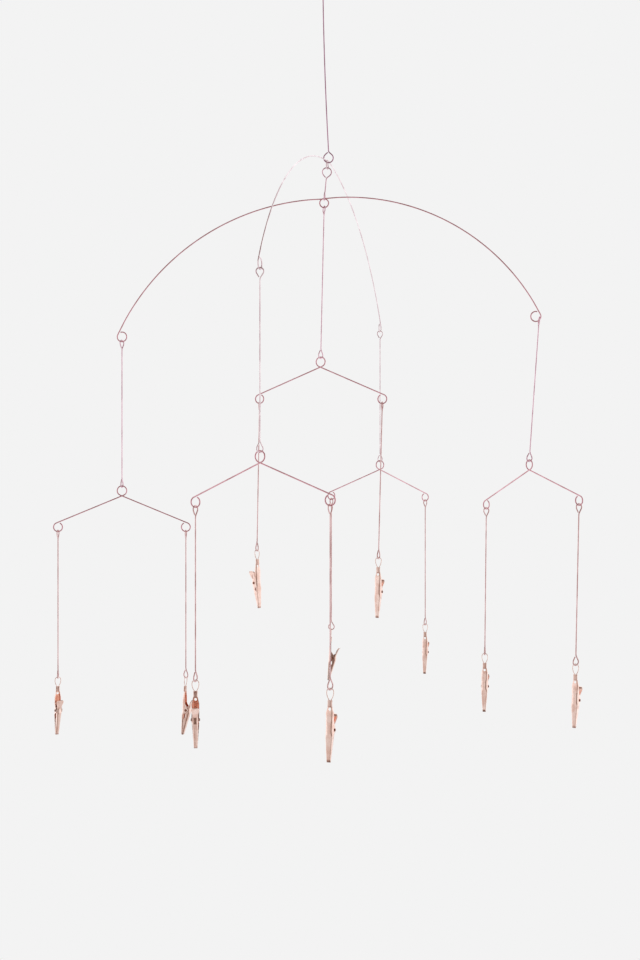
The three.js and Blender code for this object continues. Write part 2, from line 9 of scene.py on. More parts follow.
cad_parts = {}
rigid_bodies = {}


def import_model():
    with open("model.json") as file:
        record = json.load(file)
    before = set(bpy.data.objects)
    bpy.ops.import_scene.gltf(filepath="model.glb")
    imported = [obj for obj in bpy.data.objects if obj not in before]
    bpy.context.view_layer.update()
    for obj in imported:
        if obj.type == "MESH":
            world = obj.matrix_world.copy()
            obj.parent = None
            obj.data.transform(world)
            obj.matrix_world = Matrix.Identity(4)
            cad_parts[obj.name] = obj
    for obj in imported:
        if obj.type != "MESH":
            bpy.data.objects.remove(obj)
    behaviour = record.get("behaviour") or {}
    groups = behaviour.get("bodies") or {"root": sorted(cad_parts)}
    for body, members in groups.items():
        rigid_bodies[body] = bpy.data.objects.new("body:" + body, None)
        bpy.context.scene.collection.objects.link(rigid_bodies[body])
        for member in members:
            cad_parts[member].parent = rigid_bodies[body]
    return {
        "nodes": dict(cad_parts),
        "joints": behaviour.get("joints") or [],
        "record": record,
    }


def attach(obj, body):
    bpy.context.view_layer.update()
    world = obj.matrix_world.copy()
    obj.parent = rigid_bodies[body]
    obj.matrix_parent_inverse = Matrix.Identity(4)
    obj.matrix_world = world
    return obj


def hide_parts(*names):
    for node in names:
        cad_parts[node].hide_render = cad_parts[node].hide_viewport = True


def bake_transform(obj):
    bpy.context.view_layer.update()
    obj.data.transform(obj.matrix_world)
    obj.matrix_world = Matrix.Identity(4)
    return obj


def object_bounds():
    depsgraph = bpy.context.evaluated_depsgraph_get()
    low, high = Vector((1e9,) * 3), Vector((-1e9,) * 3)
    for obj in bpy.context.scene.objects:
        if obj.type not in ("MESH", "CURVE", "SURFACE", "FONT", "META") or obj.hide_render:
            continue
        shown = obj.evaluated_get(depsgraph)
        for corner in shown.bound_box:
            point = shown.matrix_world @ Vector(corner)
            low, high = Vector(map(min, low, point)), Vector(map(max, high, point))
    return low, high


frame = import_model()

CAD_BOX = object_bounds()
MM = 0.001
UP = Vector((0, 0, 1))

# Photograph: the camera stands level before the mobile, at the height of its middle. Its lens is given in
# pixels of the photograph's height
PHOTO_HEIGHT = 960
CAMERA_FROM = Vector((-3, -1181, -494)) * MM
FOCAL_PIXELS = 1181
SENSOR = 36
NEAREST_SEEN = 10 * MM

# Floor: a disc of pale paper that glows just enough to meet the paper behind it without an edge
FLOOR_BELOW = 1500 * MM
FLOOR_RADIUS = 900 * MM
FLOOR_SIDES = 96
FLOOR_GLOW = 0.319
PAPER_TONE = "#f2f2f2"
PAPER_GLOW_TONE = "#f1fcff"
PAPER_ROUGHNESS = 0.9
PAPER_SEEN = "#f3f3f3"

# Studio light: a plain room with lighter and darker parts. Each part is the way it lies from the mobile,
# the cosines of the angles where it starts and is full, and what it adds to the light of the room
ROOM_LIGHT = 0.74
ROOM_DARKEST = 0.16
ROOM_TONE = "#f3c6ae"
LAMP_TONE = "#fbfdff"
SOFT_LIGHTS = (
    ((0, 1, 0.1), -0.1, 0.5, 0.26),             # paper sweep behind
    ((0, 0.75, 0.66), 0.75, 0.93, 0.24),        # its upper part
    ((-0.7, 0.7, 0.1), 0.85, 0.97, 0.27),       # its left side
    ((0.7, 0.7, 0.1), 0.85, 0.97, 0.21),        # its right side
    ((0, 0.2, -1), 0.5, 0.9, 0.25),             # paper sweep below
    ((1, -0.1, 0), 0.6, 0.95, 0.45),            # panel on the right
    ((-1, -0.1, 0), 0.6, 0.95, 0.48),           # panel on the left
    ((0.5, -0.85, 0.1), 0.85, 0.97, 0.24),      # panel in front on the right
    ((-0.5, -0.85, 0.1), 0.85, 0.97, 0.34),     # panel in front on the left
    ((-0.4, -0.75, 0.5), 0.84, 0.96, 0.19),     # lamp above it
    ((0.85, 0, 0.45), 0.84, 0.96, 0.09),        # lamp on the right
    ((-0.25, -0.72, -0.65), 0.72, 0.93, 0.15),  # pale floor in front
    ((0.7, -0.6, -0.4), 0.84, 0.96, 0.1),       # the same on the right
    ((0, -1, 0.03), 0.95, 0.98, -0.35),         # dark camera
    ((0.25, -0.85, -0.45), 0.9, 0.98, -0.43),   # dark stand below the camera, on the right
    ((-0.25, -0.85, -0.45), 0.9, 0.98, -0.39),  # the same on the left
    ((-0.7, -0.6, -0.4), 0.84, 0.96, -0.39),    # dark room in front, low on the left
    ((0, -0.65, 0.76), 0.4, 0.75, -0.44),       # dark room above in front
    ((-0.7, 0.4, 0.6), 0.8, 0.95, -0.4),        # dark room above on the left
)

# Wire stock
WIRE = 1.2 * MM
WIRE_SIDES = 14
BEND_STEPS = 5
CUT_BEVEL = 0.2 * MM
CUT_SHARE = 0.78
STRAIGHT_RATIO = 2.2
HANDLE_SHARE = 0.34
WIRE_CREASE = math.radians(40)

# Photo clip, pressed from sheet: lengths run down from the top of the tail, depths from the back of
# the base
CLIP_LENGTH = 49.5 * MM
CLIP_TILT = math.radians(3.5)
SHEET = 0.6 * MM
SIDE_GAP = 0.3 * MM
BASE_WIDTH = 6.6 * MM
BASE_CORNER = 2.3 * MM
JAW_CORNER = 0.73 * MM
TIP_WIDTH = 3.2 * MM
LEVER_WIDTH = BASE_WIDTH - 2 * (SHEET + SIDE_GAP)
LEVER_CORNER = 1.5 * MM
LEVER_DEPTH = 8.4 * MM
THUMB_WIDTH = 7.2 * MM
THUMB_REACH = 11 * MM
THUMB_DEPTH = 11.4 * MM
THUMB_LIP = 1.2 * MM
TAIL_LENGTH = 5.5 * MM
TAIL_WIDTH = 4 * MM
TAIL_DEPTH = 2.4 * MM
TAIL_CORNER = 1 * MM
TAIL_SEAM = 0.3 * MM
SHOULDER_LENGTH = 3 * MM
SHOULDER_FLARE = 5 * MM
SHOULDER_DEPTH = 2 * MM
BOWL_RISE = 1 * MM
NECK_HOLE = 2.5 * MM
NECK_HOLE_AT = 7.2 * MM
NECK_HOLE_SIDES = 24
NOSE_LENGTH = 1.5 * MM
NOSE_DROP = 0.4 * MM
# Painted shade: how far it reaches from the jaws' tips and past the tail, and its share on the tail
TIP_SHADE_REACH = 2.4 * MM
TAIL_SHADE_REACH = 1 * MM
TAIL_SHADE_SHARE = 0.4
PIVOT_AT = 24 * MM
PIVOT_DEPTH = 4.6 * MM
EAR = 2.4 * MM
EAR_SPAN = 0.9 * EAR
EAR_FOOT = 6.7 * MM
TIP_DEPTH = 1.15 * MM
JAW_LENGTH = 16 * MM
TOOTH_COUNT = 5
TOOTH_DEPTH = 0.4 * MM
JAW_GAP = 0.3 * MM

# How the sheet is drawn: its rubbed and softened edges, its sections, and how far its bends are eased
EDGE_STRIP = 0.2
EDGE_WORN = 0.15
SEAM_WORN = 0.3
FOOT_STRIP = 0.3
EDGE_BEVEL = 0.1 * MM
BEVEL_STEPS = 2
CORNER_WELD = 0.002 * MM
STATION = 0.5 * MM
STATION_APART = 0.3 * STATION
FOLD_STEPS = 5
EASE_STEPS = 4
TAIL_PINCH = 0.12 * MM
SEAM_TURN = 0.25 * MM
CORNER_SHARE = 0.7
CORNER_WIDEST = 0.8
EAR_EASE = 0.8 * MM
FLARE_EASE = 1.2 * MM
LEVER_EASE = 0.4 * MM
THUMB_EASE = 0.3 * MM
END_EASE = 0.1 * MM
BEVEL_CREASE = math.radians(50)
SHEET_CREASE = math.radians(42)

# Rivet, spring and bail of the clip
RIVET = 1.6 * MM
RIVET_HEAD = 2.6 * MM
RIVET_HEAD_HEIGHT = 0.7 * MM
RIVET_SIDES = 24
# The head's dome from its dimple to its rim, each as shares of the head's height and radius
RIVET_DOME = ((0.62, 0), (0.68, 0.2), (1, 0.42), (0.97, 0.6), (0.8, 0.82), (0.5, 0.96), (0.2, 1))
HEAD_FOOT = 0.96
HEAD_LIFT = 0.02 * MM
HEAD_SINK = 0.1 * MM
RIVET_CREASE = math.radians(50)
SPRING_WIRE = 0.5 * MM
SPRING_SIDES = 10
COIL_HALF = 0.9 * MM
BAIL_WIRE = 0.8 * MM
BAIL_SIDES = 12
BAIL_RADIUS = 3 * MM
BAIL_RISE = 9.6 * MM
BAIL_FOOT = 0.9 * MM
BAIL_GRIP = 3 * MM
BAIL_TOP_STEPS = 4
BAIL_SIDE_STEPS = 3
LINK_GAP = 0.3 * MM
BAIL_TOP = WIRE / 2 + BAIL_WIRE / 2 + LINK_GAP
TAIL_TOP = BAIL_TOP - BAIL_RISE
BACK = TAIL_DEPTH / 2


def place(obj):
    bpy.context.scene.collection.objects.link(obj)
    return obj


def colour(text):
    """An sRGB hex colour as a linear one."""
    parts = [int(text[i:i + 2], 16) / 255 for i in (1, 3, 5)]
    return [c / 12.92 if c <= 0.04045 else ((c + 0.055) / 1.055) ** 2.4 for c in parts] + [1]


def add(tree, kind, links=None, **settings):
    """A node with its settings; each link is a number, a colour, or another node's output."""
    node = tree.nodes.new(kind)
    for key, value in settings.items():
        setattr(node, key, value)
    for key, value in (links or {}).items():
        if isinstance(value, bpy.types.NodeSocket):
            tree.links.new(value, node.inputs[key])
        else:
            node.inputs[key].default_value = value
    return node


# Camera, light and floor

def stand_camera():
    data = bpy.data.cameras.new("camera")
    data.sensor_width = SENSOR
    data.lens = FOCAL_PIXELS / PHOTO_HEIGHT * SENSOR
    data.clip_start = NEAREST_SEEN
    camera = place(bpy.data.objects.new("camera", data))
    camera.location = CAMERA_FROM
    camera.rotation_euler = (math.pi / 2, 0, 0)
    bpy.context.scene.camera = camera


def light_studio():
    """The light of the room, with its lighter and darker parts. The camera itself sees plain paper."""
    world = bpy.data.worlds.new("studio")
    bpy.context.scene.world = world
    world.use_nodes = True
    tree = world.node_tree
    tree.nodes.clear()
    towards = add(tree, "ShaderNodeTexCoord").outputs["Generated"]
    level = ROOM_LIGHT
    for aim, start, full, strength in SOFT_LIGHTS:
        facing = add(tree, "ShaderNodeVectorMath", {0: towards, 1: Vector(aim).normalized()},
                     operation="DOT_PRODUCT")
        patch = add(tree, "ShaderNodeMapRange", {
            "Value": facing.outputs["Value"], "From Min": start, "From Max": full, "To Max": strength,
        }, interpolation_type="SMOOTHSTEP")
        level = add(tree, "ShaderNodeMath", {0: level, 1: patch.outputs[0]}).outputs[0]
    level = add(tree, "ShaderNodeMath", {0: level, 1: ROOM_DARKEST}, operation="MAXIMUM").outputs[0]
    tone = add(tree, "ShaderNodeMix", {
        0: level, 6: colour(ROOM_TONE), 7: colour(LAMP_TONE),
    }, data_type="RGBA")
    lit = add(tree, "ShaderNodeBackground", {"Color": tone.outputs[2], "Strength": level})
    seen = add(tree, "ShaderNodeBackground", {"Color": colour(PAPER_SEEN), "Strength": 1})
    ray = add(tree, "ShaderNodeLightPath")
    both = add(tree, "ShaderNodeMixShader", {
        0: ray.outputs["Is Camera Ray"], 1: lit.outputs[0], 2: seen.outputs[0],
    })
    add(tree, "ShaderNodeOutputWorld", {"Surface": both.outputs[0]})
    bpy.context.scene.view_settings.view_transform = "Standard"


def lay_floor():
    level = CAD_BOX[0].z - FLOOR_BELOW
    turns = [2 * math.pi * i / FLOOR_SIDES for i in range(FLOOR_SIDES)]
    rim = [(FLOOR_RADIUS * math.cos(a), FLOOR_RADIUS * math.sin(a), level) for a in turns]
    mesh = bpy.data.meshes.new("floor")
    mesh.from_pydata(rim, [], [range(FLOOR_SIDES)])
    floor = place(bpy.data.objects.new("floor", mesh))
    # Uncoated sweep paper: an even, pale white without gloss
    paint = bpy.data.materials.new("matt_white_sweep_paper")
    paint.use_nodes = True
    shader = paint.node_tree.nodes["Principled BSDF"]
    shader.inputs["Base Color"].default_value = colour(PAPER_TONE)
    shader.inputs["Roughness"].default_value = PAPER_ROUGHNESS
    shader.inputs["Specular IOR Level"].default_value = 0
    shader.inputs["Emission Color"].default_value = colour(PAPER_GLOW_TONE)
    shader.inputs["Emission Strength"].default_value = FLOOR_GLOW
    mesh.materials.append(paint)


# Finishes

GRAIN_DEPTH = 0.05 * MM
TARNISH_DETAIL = 3
TARNISH_ROUGHNESS = 0.6
TARNISH_FROM, TARNISH_TO = 0.35, 0.65
POLISH_FROM, POLISH_TO = 0.3, 0.7
GRAIN_DETAIL = 2


def metal(name, light, dark, patch, smooth, rough, grain, relief, worn=None, painted_shade=None):
    """A plated metal: its tarnish drifts between two colours over patches of one size in millimetres,
    its polish drifts with it, and a finer grain of another size roughens the surface. It may be rubbed
    paler on its edges, and darkened with painted shade where its painted_shade attribute says."""
    finish = bpy.data.materials.new(name)
    finish.use_nodes = True
    tree = finish.node_tree
    shader = tree.nodes["Principled BSDF"]
    spot = add(tree, "ShaderNodeTexCoord").outputs["Object"]
    tarnish = add(tree, "ShaderNodeTexNoise", {
        "Vector": spot, "Scale": 1 / (patch * MM),
        "Detail": TARNISH_DETAIL, "Roughness": TARNISH_ROUGHNESS,
    })
    drift = add(tree, "ShaderNodeMapRange", {
        "Value": tarnish.outputs[0], "From Min": TARNISH_FROM, "From Max": TARNISH_TO,
    }, interpolation_type="SMOOTHSTEP")
    blend = add(tree, "ShaderNodeMix", {
        0: drift.outputs[0], 6: colour(light), 7: colour(dark),
    }, data_type="RGBA")
    tint = blend.outputs[2]
    if worn:
        rim = add(tree, "ShaderNodeAttribute", attribute_name="worn")
        rubbed = add(tree, "ShaderNodeMath", {
            0: rim.outputs["Fac"], 1: tarnish.outputs[0],
        }, operation="MULTIPLY")
        tint = add(tree, "ShaderNodeMix", {
            0: rubbed.outputs[0], 6: tint, 7: colour(worn),
        }, data_type="RGBA").outputs[2]
    if painted_shade:
        # Painted shade: a darker colour laid over the tail and the jaws' tips
        shade_mask = add(tree, "ShaderNodeAttribute", attribute_name="painted_shade")
        tint = add(tree, "ShaderNodeMix", {
            0: shade_mask.outputs["Fac"], 6: tint, 7: colour(painted_shade),
        }, data_type="RGBA").outputs[2]
    tree.links.new(tint, shader.inputs["Base Color"])
    polish = add(tree, "ShaderNodeMapRange", {
        "Value": tarnish.outputs[0], "From Min": POLISH_FROM, "From Max": POLISH_TO,
        "To Min": smooth, "To Max": rough,
    })
    tree.links.new(polish.outputs[0], shader.inputs["Roughness"])
    pits = add(tree, "ShaderNodeTexNoise", {
        "Vector": spot, "Scale": 1 / (grain * MM), "Detail": GRAIN_DETAIL,
    })
    bump = add(tree, "ShaderNodeBump", {
        "Height": pits.outputs[0], "Strength": relief, "Distance": GRAIN_DEPTH,
    })
    tree.links.new(bump.outputs[0], shader.inputs["Normal"])
    shader.inputs["Metallic"].default_value = 1
    return finish


def wire_metal(name, light, dark):
    """Drawn steel wire with a copper flash, satin. The grain of the drawing is finer than this and is drawn
    coarser so that it shows."""
    return metal(name, light, dark, patch=14, smooth=0.2, rough=0.32, grain=0.5, relief=0.12)


# The ceiling wire: the same wire painted a dark mauve, as painted shade
PAINTED_DARKEST_WIRE = wire_metal("copper_flashed_wire_painted_darkest", "#bc93a7", "#a57b8d")
# The same wire in the link and most hangers: dulled to a mauve rose in patches
DULLED_WIRE = wire_metal("dulled_copper_flashed_wire", "#e6c6d0", "#caa5b0")
# The same wire in the upper arch and its two hangers, painted a paler rose as painted light
PAINTED_LIGHTER_WIRE = wire_metal("copper_flashed_wire_painted_lighter", "#f0e1e3", "#d2bbbf")
# The same wire in the lower arch and the arms, painted a browner rose as painted shade
PAINTED_DARKER_WIRE = wire_metal("copper_flashed_wire_painted_darker", "#dca9b2", "#bf8b91")
# The same wire, fresher, in the wires of the clips: a warmer rose
DRAWN_WIRE = wire_metal("drawn_copper_flashed_wire", "#e0c0bf", "#c39d9b")
# Sheet steel, barrel polished and copper plated: pale rose and bright, with the plating rubbed paler on
# its edges, and painted darker on the crimped tail and the jaws' tips as painted shade
CLIP_FINISH = metal(
    "polished_copper_plated_sheet", "#efd4c9", "#e0bbad",
    patch=8, smooth=0.1, rough=0.19, grain=0.9, relief=0.04, worn="#f6e6df", painted_shade="#a98378",
)
# The same sheet inside its folds, where the barrel doesn't reach: the plating stays satin and orange, and
# is painted paler and more orange still as painted light for the light bouncing inside the channel
INSIDE_LIT_FINISH = metal(
    "unpolished_copper_sheet_painted_light", "#f8bda4", "#f0a88c",
    patch=5, smooth=0.3, rough=0.42, grain=0.6, relief=0.1,
)
# Copper-plated spring steel: the hardest drawn wire here, dull and more orange
SPRING_FINISH = metal(
    "copper_plated_spring_wire", "#b8755c", "#8a5443",
    patch=1.5, smooth=0.32, rough=0.5, grain=0.2, relief=0.2,
)
# Rivets set after the plating: burnished brown where the tool struck them
RIVET_FINISH = metal(
    "burnished_copper_rivet", "#a06a57", "#6f4538",
    patch=0.9, smooth=0.28, rough=0.45, grain=0.2, relief=0.3,
)
# Bright copper-plated wire of the bails: thin, polished and the palest of the wires
BAIL_FINISH = metal(
    "bright_copper_bail_wire", "#f0dad2", "#e0c2b8",
    patch=3, smooth=0.14, rough=0.26, grain=0.4, relief=0.08,
)

# The finish of each wire, by how its name starts
WIRE_FINISHES = (
    ("ceiling_wire", PAINTED_DARKEST_WIRE),
    ("upper_arch", PAINTED_LIGHTER_WIRE),
    ("hanger_front", PAINTED_LIGHTER_WIRE),
    ("hanger_back", PAINTED_LIGHTER_WIRE),
    ("lower_arch", PAINTED_DARKER_WIRE),
    ("arm", PAINTED_DARKER_WIRE),
    ("clip_wire", DRAWN_WIRE),
    ("", DULLED_WIRE),
)


# Wires, all swept by one tree along a bent centreline

# A point on the side of a CAD wire shares an edge with this many others or more, and one on a cut end
# with fewer
SIDE_NEIGHBOURS = 6


def corners_of(node):
    """The corner points of a CAD wire, with doubles as one, and which of them share an edge."""
    mesh = frame["nodes"][node].data
    known = {}
    number = [known.setdefault(tuple(v.co), len(known)) for v in mesh.vertices]
    beside = [set() for _ in known]
    for face in mesh.polygons:
        ring = [number[i] for i in face.vertices]
        for i, here in enumerate(ring):
            beside[here].add(ring[i - 1])
            beside[ring[i - 1]].add(here)
    return [Vector(p) for p in known], beside


def centreline(node):
    """The middle of each section of a CAD wire, from one cut end to the other."""
    points, beside = corners_of(node)
    few = {i for i, near in enumerate(beside) if len(near) < SIDE_NEIGHBOURS}
    end = {min(few)}
    while True:
        wider = end | {j for i in end for j in beside[i] if j in few}
        if wider == end:
            break
        end = wider
    section = end | {i for i, near in enumerate(beside) if end <= near}
    seen = set()
    path = []
    while section:
        path.append(sum((points[i] for i in section), Vector()) / len(section))
        seen |= section
        section = {j for i in section for j in beside[i]} - seen
    return path


def heading(before, here, after):
    """Direction of the wire at a point: along a straight that meets it, or else of the bend through it."""
    a, b = here - before, after - here
    if a.length > STRAIGHT_RATIO * b.length:
        return a.normalized()
    if b.length > STRAIGHT_RATIO * a.length:
        return b.normalized()
    return (a.normalized() * b.length + b.normalized() * a.length).normalized()


def bent(name, path):
    """A smooth curve through the bends of a wire, with its two cut ends bevelled."""
    first, last = (path[1] - path[0]).normalized(), (path[-2] - path[-1]).normalized()
    path = [path[0], path[0] + first * CUT_BEVEL, *path[1:-1], path[-1] + last * CUT_BEVEL, path[-1]]
    data = bpy.data.curves.new(name, "CURVE")
    data.dimensions = "3D"
    data.resolution_u = BEND_STEPS
    spline = data.splines.new("BEZIER")
    spline.bezier_points.add(len(path) - 1)
    for i, point in enumerate(spline.bezier_points):
        here = path[i]
        before = path[i - 1] if i else here - first * CUT_BEVEL
        after = path[i + 1] if i + 1 < len(path) else here - last * CUT_BEVEL
        along = heading(before, here, after)
        point.handle_left_type = point.handle_right_type = "FREE"
        point.co = here
        point.handle_left = here - along * (here - before).length * HANDLE_SHARE
        point.handle_right = here + along * (after - here).length * HANDLE_SHARE
        point.radius = CUT_SHARE if i in (0, len(path) - 1) else 1
    return place(bpy.data.objects.new(name, data))


def wire_tree():
    """Sweeps a round section along a centreline."""
    tree = bpy.data.node_groups.new("drawn_wire", "GeometryNodeTree")
    for name, kind in (
        ("Centreline", "NodeSocketGeometry"),
        ("Diameter", "NodeSocketFloat"),
        ("Sides", "NodeSocketInt"),
        ("Finish", "NodeSocketMaterial"),
    ):
        tree.interface.new_socket(name, in_out="INPUT", socket_type=kind)
    tree.interface.new_socket("Wire", in_out="OUTPUT", socket_type="NodeSocketGeometry")
    given = add(tree, "NodeGroupInput").outputs
    radius = add(tree, "ShaderNodeMath", {0: given["Diameter"], 1: 0.5}, operation="MULTIPLY")
    section = add(tree, "GeometryNodeCurvePrimitiveCircle", {
        "Resolution": given["Sides"], "Radius": radius.outputs[0],
    })
    swept = add(tree, "GeometryNodeCurveToMesh", {
        "Curve": given["Centreline"], "Profile Curve": section.outputs[0], "Fill Caps": True,
    })
    turn = add(tree, "GeometryNodeInputMeshEdgeAngle")
    soft = add(tree, "FunctionNodeCompare", {
        0: turn.outputs["Unsigned Angle"], 1: WIRE_CREASE,
    }, operation="LESS_THAN")
    faces = add(tree, "GeometryNodeSetShadeSmooth", {"Geometry": swept.outputs[0], "Shade Smooth": True})
    edges = add(tree, "GeometryNodeSetShadeSmooth", {
        "Geometry": faces.outputs[0], "Shade Smooth": soft.outputs[0],
    }, domain="EDGE")
    real = add(tree, "GeometryNodeRealizeInstances", {"Geometry": edges.outputs[0]})
    coated = add(tree, "GeometryNodeSetMaterial", {
        "Geometry": real.outputs[0], "Material": given["Finish"],
    })
    add(tree, "NodeGroupOutput", {"Wire": coated.outputs[0]})
    return tree


WIRE_TREE = wire_tree()


def plain_mesh(obj, name):
    """The finished mesh of an object whose modifiers or tree have done their work. The draft goes."""
    bpy.context.view_layer.update()
    graph = bpy.context.evaluated_depsgraph_get()
    mesh = bpy.data.meshes.new_from_object(obj.evaluated_get(graph), depsgraph=graph)
    bpy.data.batch_remove((obj, obj.data))
    mesh.name = name
    return mesh


def swept_wire(name, path, diameter, finish, sides=WIRE_SIDES):
    draft = bent(name + "_draft", path)
    modifier = draft.modifiers.new("drawn_wire", "NODES")
    modifier.node_group = WIRE_TREE
    given = {"Diameter": diameter, "Sides": sides, "Finish": finish}
    for item in WIRE_TREE.interface.items_tree:
        if item.in_out == "INPUT" and item.name in given:
            modifier[item.identifier] = given[item.name]
    return plain_mesh(draft, name)


def fit(name, mesh, body, slot, *nodes, twist=None):
    """A finished piece on its body, in the place of the CAD nodes that it stands for. A piece with a twist
    is not put on its body: its place is baked into its mesh."""
    piece = place(bpy.data.objects.new(name, mesh))
    if twist:
        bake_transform(piece)
    else:
        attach(piece, body)
    if nodes:
        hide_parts(*nodes)


# Photo clip, made once in its own frame: the bail hangs at the origin and the lever faces -Y

def at(across, down, depth):
    """A point of the clip from its place across, down from the tail's top and deep from the back."""
    return Vector((across, BACK - depth, TAIL_TOP - down))


def along(stations, down):
    """A value between stations of (down, value)."""
    for (d0, v0), (d1, v1) in zip(stations, stations[1:]):
        if down <= d1:
            return v0 + (v1 - v0) * max(0, down - d0) / (d1 - d0)
    return stations[-1][1]


def eased(stations, down, reach):
    """The same with its corners rounded over a reach."""
    first, last = stations[0][0], stations[-1][0]
    steps = [down + reach * (i / EASE_STEPS - 1) for i in range(2 * EASE_STEPS + 1)]
    return sum(along(stations, max(first, min(last, d))) for d in steps) / len(steps)


def ear_depth(down):
    """How far an ear's round edge stands from the rivet's middle."""
    return math.sqrt(max(0, EAR ** 2 - (down - PIVOT_AT) ** 2))


def teeth(root, tip):
    """A zigzag edge along the jaw."""
    start = CLIP_LENGTH - JAW_LENGTH
    edge = []
    for i in range(2 * TOOTH_COUNT + 1):
        share = i / (2 * TOOTH_COUNT)
        notch = (i % 2) * TOOTH_DEPTH
        edge.append((start + JAW_LENGTH * share, root + (tip - root) * share - notch))
    return edge


def section(half, back, edge, corner):
    """Across a channel from one free edge to the other: (across, depth, worn)."""
    inward = 1 if edge > back else -1
    tall = abs(edge - back)
    corner = min(corner, CORNER_WIDEST * half, CORNER_SHARE * tall)
    side = [(half, edge, 1), (half, edge - inward * EDGE_STRIP * (tall - corner), EDGE_WORN)]
    side.append((half, back + inward * (corner + FOOT_STRIP * (tall - corner)), 0))
    for i in range(FOLD_STEPS + 1):
        turn = math.pi / 2 * i / FOLD_STEPS
        across = half - corner * (1 - math.cos(turn))
        side.append((across, back + inward * corner * (1 - math.sin(turn)), 0))
    middle = half - corner
    side += [(middle / 2, back, 0), (0, back, 0)]
    return [(-a, d, w) for a, d, w in side] + [(a, d, w) for a, d, w in side[-2::-1]]


def painted_shade_share(down):
    """How much painted shade darkens the plating: in part on the crimped tail, and fully at the jaws' very
    tips.
    """
    tip = 1 - (CLIP_LENGTH - down) / TIP_SHADE_REACH
    tail = 1 - max(0, down - TAIL_LENGTH) / TAIL_SHADE_REACH
    return max(0, tip, TAIL_SHADE_SHARE * tail)


def sheet_mesh(name, rows, outward, punch=None):
    """Rows of section points, each (across, down, depth, worn), folded from sheet with softened edges.
    A punch leaves its hole."""
    wide = len(rows[0])
    points = [at(a, down, depth) for row in rows for a, down, depth, _ in row]
    faces = []
    for r in range(len(rows) - 1):
        for c in range(wide - 1):
            i = r * wide + c
            face = (i, i + 1, i + 1 + wide, i + wide)
            faces.append(face if outward > 0 else face[::-1])
    mesh = bpy.data.meshes.new(name)
    mesh.from_pydata(points, [], faces)
    worn = mesh.attributes.new("worn", "FLOAT", "POINT")
    ends = (0, len(rows) - 1)
    rubbed = [1 if r in ends else p[3] for r, row in enumerate(rows) for p in row]
    worn.data.foreach_set("value", rubbed)
    # How much painted shade each point takes, darkening the tail and the jaws' tips
    painted_shade = mesh.attributes.new("painted_shade", "FLOAT", "POINT")
    painted_shade.data.foreach_set("value", [painted_shade_share(p[1]) for row in rows for p in row])
    mesh.materials.append(CLIP_FINISH)
    mesh.materials.append(INSIDE_LIT_FINISH)
    draft = place(bpy.data.objects.new(name, mesh))
    wall = draft.modifiers.new("wall", "SOLIDIFY")
    wall.thickness = SHEET
    wall.offset = -1
    wall.use_quality_normals = True
    # The inside of the base and tail takes the inside finish, with its painted light
    wall.material_offset = 1 if outward > 0 else 0
    soften = draft.modifiers.new("edges", "BEVEL")
    soften.width = EDGE_BEVEL
    soften.segments = BEVEL_STEPS
    soften.limit_method = "ANGLE"
    soften.angle_limit = BEVEL_CREASE
    if punch:
        hole = draft.modifiers.new("hole", "BOOLEAN")
        hole.operation = "DIFFERENCE"
        hole.solver = "EXACT"
        hole.object = punch
    weld = draft.modifiers.new("corners", "WELD")
    weld.merge_threshold = CORNER_WELD
    made = plain_mesh(draft, name)
    made.polygons.foreach_set("use_smooth", [True] * len(made.polygons))
    made.set_sharp_from_angle(angle=SHEET_CREASE)
    return made


def stations_between(start, end, keep=()):
    """Where sections are drawn: evenly spaced, and exactly at the places to keep."""
    count = math.ceil((end - start) / STATION)
    even = [start + (end - start) * i / count for i in range(count + 1)]
    apart = [d for d in even if all(abs(d - k) > STATION_APART for k in keep)]
    return sorted({*apart, *[k for k in keep if start <= k <= end], start, end})


def base_channel():
    """Sections of the base. Its free edge, half width, back and corners run between stations of
    (down, value)."""
    start = TAIL_LENGTH - SHEET / 2
    shoulder = TAIL_LENGTH + SHOULDER_LENGTH
    root = TIP_DEPTH + SHEET / 2
    edge = [
        (start, SHOULDER_DEPTH),
        (shoulder, SHOULDER_DEPTH),
        (PIVOT_AT - EAR_FOOT, SHOULDER_DEPTH + SHEET),
        (PIVOT_AT - EAR_SPAN, PIVOT_DEPTH + 0.65 * EAR),
        (PIVOT_AT + EAR_SPAN, PIVOT_DEPTH + 0.4 * EAR),
        (PIVOT_AT + 2 * EAR, root),
    ]
    jaw = teeth(root, TIP_DEPTH)
    half = [
        (start, TAIL_WIDTH / 2),
        (TAIL_LENGTH + SHOULDER_FLARE, BASE_WIDTH / 2),
        (PIVOT_AT + EAR, BASE_WIDTH / 2),
        (CLIP_LENGTH, TIP_WIDTH / 2),
    ]
    back = [
        (start, BOWL_RISE),
        (shoulder, 0.25 * BOWL_RISE),
        (shoulder + SHOULDER_LENGTH, 0),
        (CLIP_LENGTH - NOSE_LENGTH, 0),
        (CLIP_LENGTH, NOSE_DROP),
    ]
    corner = [
        (start, BASE_CORNER),
        (PIVOT_AT + EAR, BASE_CORNER),
        (PIVOT_AT + 2 * EAR, JAW_CORNER),
        (CLIP_LENGTH, JAW_CORNER),
    ]
    rows = []
    for down in stations_between(start, CLIP_LENGTH, [d for d, _ in jaw]):
        if down < jaw[0][0]:
            ear = PIVOT_DEPTH + ear_depth(down) if ear_depth(down) else 0
            deep = max(eased(edge, down, EAR_EASE), ear)
        else:
            deep = along(jaw, down)
        wide = eased(half, down, FLARE_EASE)
        behind = eased(back, down, min(FLARE_EASE, CLIP_LENGTH - down + END_EASE))
        round_off = eased(corner, down, FLARE_EASE)
        rows.append([(a, down, d, w) for a, d, w in section(wide, behind, deep, round_off)])
    return rows


